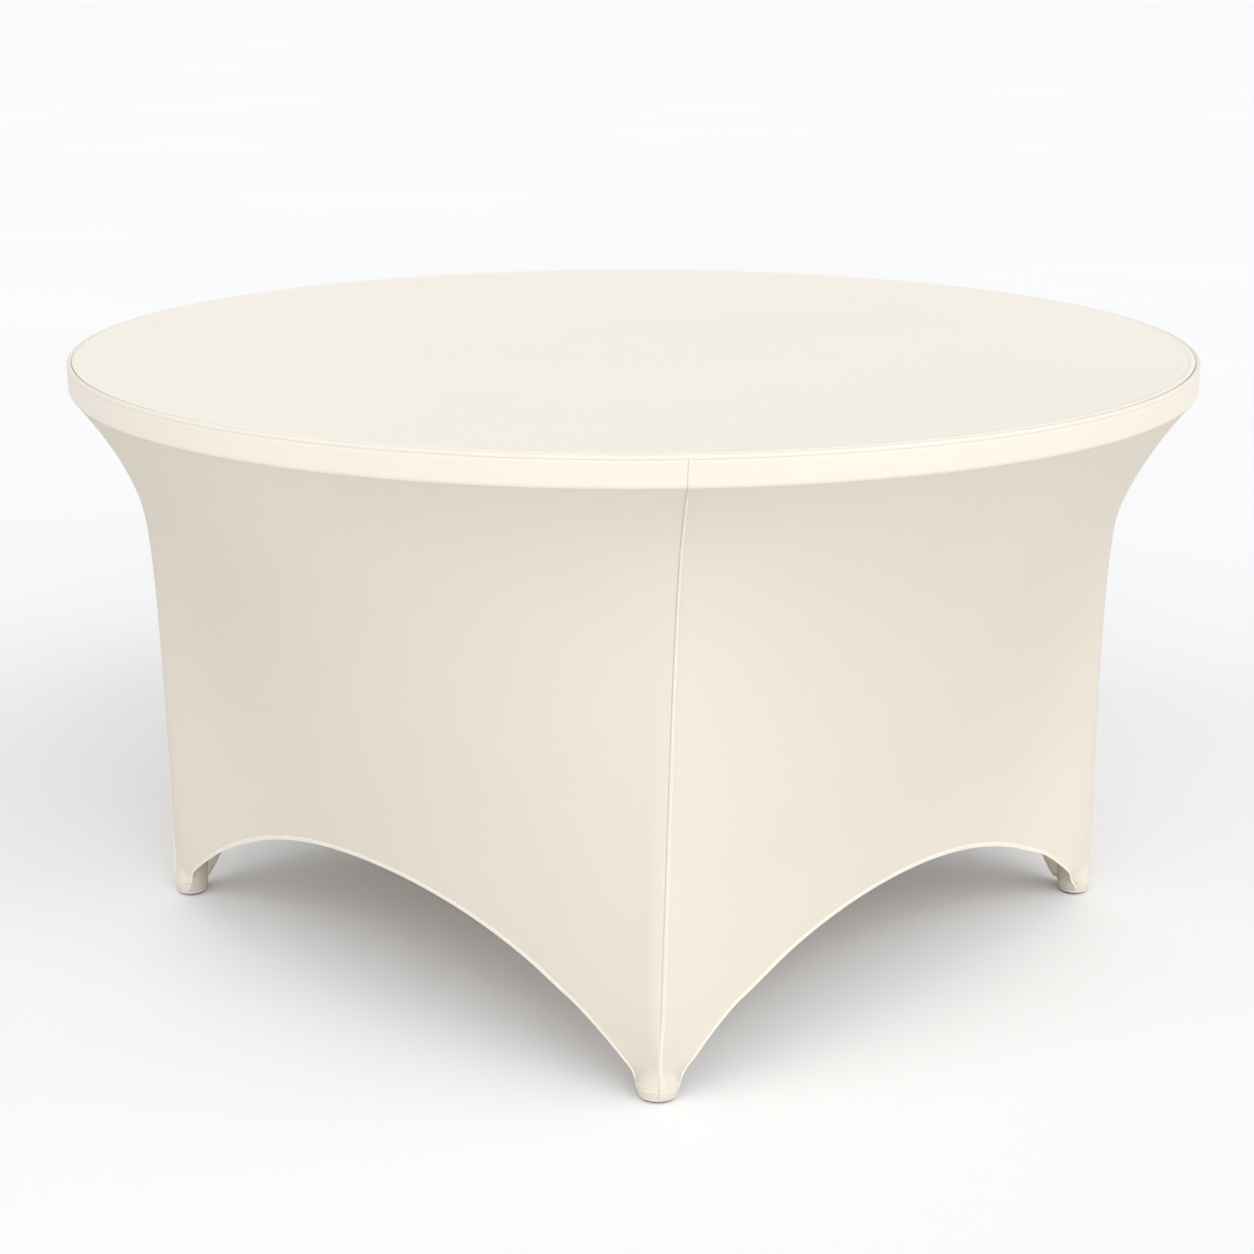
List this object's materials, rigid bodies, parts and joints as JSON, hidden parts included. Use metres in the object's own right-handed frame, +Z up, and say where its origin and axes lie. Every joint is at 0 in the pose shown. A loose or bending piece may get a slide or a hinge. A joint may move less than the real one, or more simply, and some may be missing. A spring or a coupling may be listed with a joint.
{
  "type": "fitted tablecloth on a folding table",
  "caption": "Round folding table under a fitted stretch cover: flat top, piped edge, waisted skirt panels with arched hems, and foot pockets.",
  "frame": {"origin": "on the floor under the centre of the round top", "axes": "+Z up; +X towards the side between the two legs of the right folding frame; the legs stand at the corners of a rectangle along X and Y"},
  "size_m": [1.3722, 1.3724, 0.733],
  "materials": {
    "cover_fabric": "taut ivory stretch knit",
    "cover_edging": "folded ivory knit edging with overlock stitches",
    "cover_pocket": "doubled ivory knit, reinforced",
    "moulded_board": "fine pebbled grain",
    "painted_steel": "hammered grey powder coat",
    "zinc_steel": "zinc plated",
    "foot_rubber": "matt warm grey non-marking rubber"
  },
  "bodies": {
    "table": {"table_top": "moulded_board", "rail_front": "painted_steel", "rail_back": "painted_steel", "bracket_screws": "zinc_steel", "cover_top": "cover_fabric", "edge_piping": "cover_edging", "pivot_bracket_right_front": "zinc_steel", "brace_bracket_right_front": "zinc_steel", "seam_tape_right_front": "cover_edging", "pivot_bracket_right_back": "zinc_steel", "brace_bracket_right_back": "zinc_steel", "seam_tape_right_back": "cover_edging", "pivot_bracket_left_back": "zinc_steel", "brace_bracket_left_back": "zinc_steel", "seam_tape_left_back": "cover_edging", "pivot_bracket_left_front": "zinc_steel", "brace_bracket_left_front": "zinc_steel", "seam_tape_left_front": "cover_edging", "skirt_front": "cover_fabric", "hem_front": "cover_edging", "skirt_right": "cover_fabric", "hem_right": "cover_edging", "skirt_back": "cover_fabric", "hem_back": "cover_edging", "skirt_left": "cover_fabric", "hem_left": "cover_edging"},
    "right_legs": {"hinge_tube_right": "painted_steel", "stretcher_right": "painted_steel", "leg_right_front": "painted_steel", "brace_stud_right_front": "zinc_steel", "foot_cap_right_front": "foot_rubber", "foot_pocket_right_front": "cover_pocket", "leg_right_back": "painted_steel", "brace_stud_right_back": "zinc_steel", "foot_cap_right_back": "foot_rubber", "foot_pocket_right_back": "cover_pocket"},
    "left_legs": {"hinge_tube_left": "painted_steel", "stretcher_left": "painted_steel", "leg_left_back": "painted_steel", "brace_stud_left_back": "zinc_steel", "foot_cap_left_back": "foot_rubber", "foot_pocket_left_back": "cover_pocket", "leg_left_front": "painted_steel", "brace_stud_left_front": "zinc_steel", "foot_cap_left_front": "foot_rubber", "foot_pocket_left_front": "cover_pocket"},
    "upper_arm_right_front": {"upper_brace_right_front": "zinc_steel"},
    "lower_arm_right_front": {"lower_brace_right_front": "zinc_steel"},
    "upper_arm_right_back": {"upper_brace_right_back": "zinc_steel"},
    "lower_arm_right_back": {"lower_brace_right_back": "zinc_steel"},
    "upper_arm_left_back": {"upper_brace_left_back": "zinc_steel"},
    "lower_arm_left_back": {"lower_brace_left_back": "zinc_steel"},
    "upper_arm_left_front": {"upper_brace_left_front": "zinc_steel"},
    "lower_arm_left_front": {"lower_brace_left_front": "zinc_steel"}
  },
  "joints": [
    {"name": "right_legs_fold", "type": "hinge", "parent": "table", "child": "right_legs", "pos_m": [0.422, 0, 0.67], "axis": [0, 1, 0], "range_deg": [0, 90]},
    {"name": "left_legs_fold", "type": "hinge", "parent": "table", "child": "left_legs", "pos_m": [-0.422, 0, 0.63], "axis": [0, -1, 0], "range_deg": [0, 90]},
    {"name": "upper_arm_right_front_swing", "type": "hinge", "parent": "table", "child": "upper_arm_right_front", "pos_m": [0.06, -0.37, 0.67], "axis": [0, -1, 0], "range_deg": [0, 28.94]},
    {"name": "lower_arm_right_front_swing", "type": "hinge", "parent": "right_legs", "child": "lower_arm_right_front", "pos_m": [0.422, -0.3735, 0.47], "axis": [0, 1, 0], "range_deg": [0, 61.1]},
    {"name": "upper_arm_right_back_swing", "type": "hinge", "parent": "table", "child": "upper_arm_right_back", "pos_m": [0.06, 0.37, 0.67], "axis": [0, -1, 0], "range_deg": [0, 28.94]},
    {"name": "lower_arm_right_back_swing", "type": "hinge", "parent": "right_legs", "child": "lower_arm_right_back", "pos_m": [0.422, 0.3735, 0.47], "axis": [0, 1, 0], "range_deg": [0, 61.1]},
    {"name": "upper_arm_left_back_swing", "type": "hinge", "parent": "table", "child": "upper_arm_left_back", "pos_m": [-0.06, 0.37, 0.63], "axis": [0, 1, 0], "range_deg": [0, 28.94]},
    {"name": "lower_arm_left_back_swing", "type": "hinge", "parent": "left_legs", "child": "lower_arm_left_back", "pos_m": [-0.422, 0.3735, 0.43], "axis": [0, -1, 0], "range_deg": [0, 61.1]},
    {"name": "upper_arm_left_front_swing", "type": "hinge", "parent": "table", "child": "upper_arm_left_front", "pos_m": [-0.06, -0.37, 0.63], "axis": [0, 1, 0], "range_deg": [0, 28.94]},
    {"name": "lower_arm_left_front_swing", "type": "hinge", "parent": "left_legs", "child": "lower_arm_left_front", "pos_m": [-0.422, -0.3735, 0.43], "axis": [0, -1, 0], "range_deg": [0, 61.1]}
  ],
  "couplings": [
    {"joint": "upper_arm_right_front_swing", "follows": "right_legs_fold", "ratio": 0.32133},
    {"joint": "lower_arm_right_front_swing", "follows": "right_legs_fold", "ratio": 0.67867},
    {"joint": "upper_arm_right_back_swing", "follows": "right_legs_fold", "ratio": 0.32133},
    {"joint": "lower_arm_right_back_swing", "follows": "right_legs_fold", "ratio": 0.67867},
    {"joint": "upper_arm_left_back_swing", "follows": "left_legs_fold", "ratio": 0.32133},
    {"joint": "lower_arm_left_back_swing", "follows": "left_legs_fold", "ratio": 0.67867},
    {"joint": "upper_arm_left_front_swing", "follows": "left_legs_fold", "ratio": 0.32133},
    {"joint": "lower_arm_left_front_swing", "follows": "left_legs_fold", "ratio": 0.67867}
  ]
}
